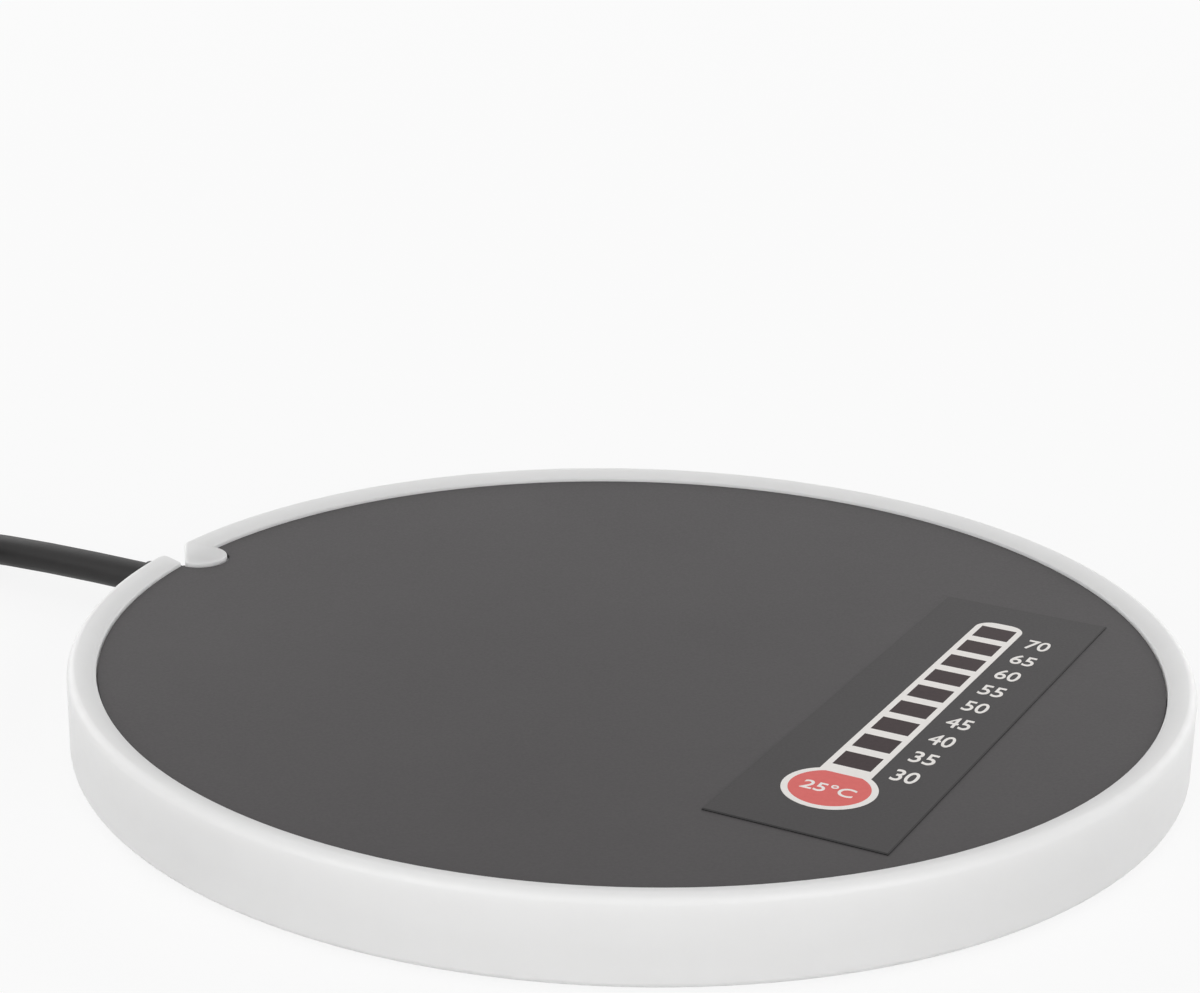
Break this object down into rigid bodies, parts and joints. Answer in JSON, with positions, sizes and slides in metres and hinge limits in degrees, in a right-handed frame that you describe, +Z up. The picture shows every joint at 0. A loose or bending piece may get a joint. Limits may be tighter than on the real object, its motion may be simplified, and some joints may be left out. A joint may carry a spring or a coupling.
{
  "type": "electric mug warmer",
  "caption": "Slim round electric mug warmer: a sprung dark heating plate with a strip thermometer in a split white edge band, with a black cord.",
  "frame": {"origin": "the middle of the heating plate, at the height of the table under the feet", "axes": "+Z up out of the heating plate, -Y towards the user, +X to the user's right"},
  "size_m": [0.2427, 0.126, 0.01],
  "materials": {
    "band_rubber": "satin",
    "tray_plastic": "satin",
    "foot_rubber": "matte",
    "panel_plastic": "satin",
    "spreader_aluminium": "satin",
    "heater_film": "gloss",
    "track_metal": "satin",
    "pad_foam": "matte",
    "carrier_plastic": "matte",
    "steel": "brushed",
    "board_laminate": "satin",
    "moulded_black": "matte",
    "stem_plastic": "satin",
    "capacitor_ceramic": "satin",
    "sensor_resin": "gloss",
    "fuse_ceramic": "satin",
    "lead_wire": "satin",
    "wire_insulation": "satin",
    "cord_rubber": "satin",
    "tie_plastic": "matte",
    "plug_plastic": "satin",
    "plug_steel": "satin",
    "tongue_plastic": "satin",
    "contact_gold": "polished",
    "label_film": "satin",
    "print_white": "satin",
    "print_red": "satin",
    "cell_film": "satin"
  },
  "bodies": {
    "base": {"edge_band": "band_rubber", "base_tray": "tray_plastic", "cord_clamp": "tray_plastic", "rubber_feet": "foot_rubber", "return_springs": "steel", "board_screws": "steel", "clamp_screws": "steel", "circuit_board": "board_laminate", "switch_body": "moulded_black", "power_transistor": "moulded_black", "control_chip": "moulded_black", "board_resistors": "moulded_black", "board_capacitors": "capacitor_ceramic", "heater_leads": "lead_wire", "sensor_leads": "lead_wire", "fuse_leads": "lead_wire", "cord_wires": "wire_insulation", "cord_jacket_end": "cord_rubber", "strain_relief": "cord_rubber", "power_cord": "cord_rubber", "cord_coil": "cord_rubber", "cord_tail": "cord_rubber", "cord_tie": "tie_plastic", "plug_body": "plug_plastic", "plug_shell": "plug_steel", "plug_tongue": "tongue_plastic", "plug_contacts": "contact_gold"},
    "heating_plate": {"top_panel": "panel_plastic", "heat_spreader": "spreader_aluminium", "heater_film": "heater_film", "heater_track": "track_metal", "insulation_pad": "pad_foam", "plate_carrier": "carrier_plastic", "plate_screws": "steel", "temperature_sensor": "sensor_resin", "thermal_fuse": "fuse_ceramic", "thermometer_label": "label_film", "scale_outline": "print_white", "scale_cells": "cell_film", "scale_bulb": "print_red", "scale_numerals": "print_white"},
    "switch_stem": {"switch_stem": "stem_plastic"}
  },
  "joints": [
    {"name": "plate_press", "type": "slide", "parent": "base", "child": "heating_plate", "axis": [0, 0, -1], "range_m": [0, 0.0005], "stiffness_N_per_m": 875, "springref_m": -0.0014, "deforming": ["return_springs", "heater_leads", "sensor_leads", "fuse_leads"]},
    {"name": "stem_press", "type": "slide", "parent": "base", "child": "switch_stem", "axis": [0, 0, -1], "range_m": [0, 0.0005]}
  ],
  "couplings": [
    {"joint": "stem_press", "follows": "plate_press", "ratio": 1}
  ]
}
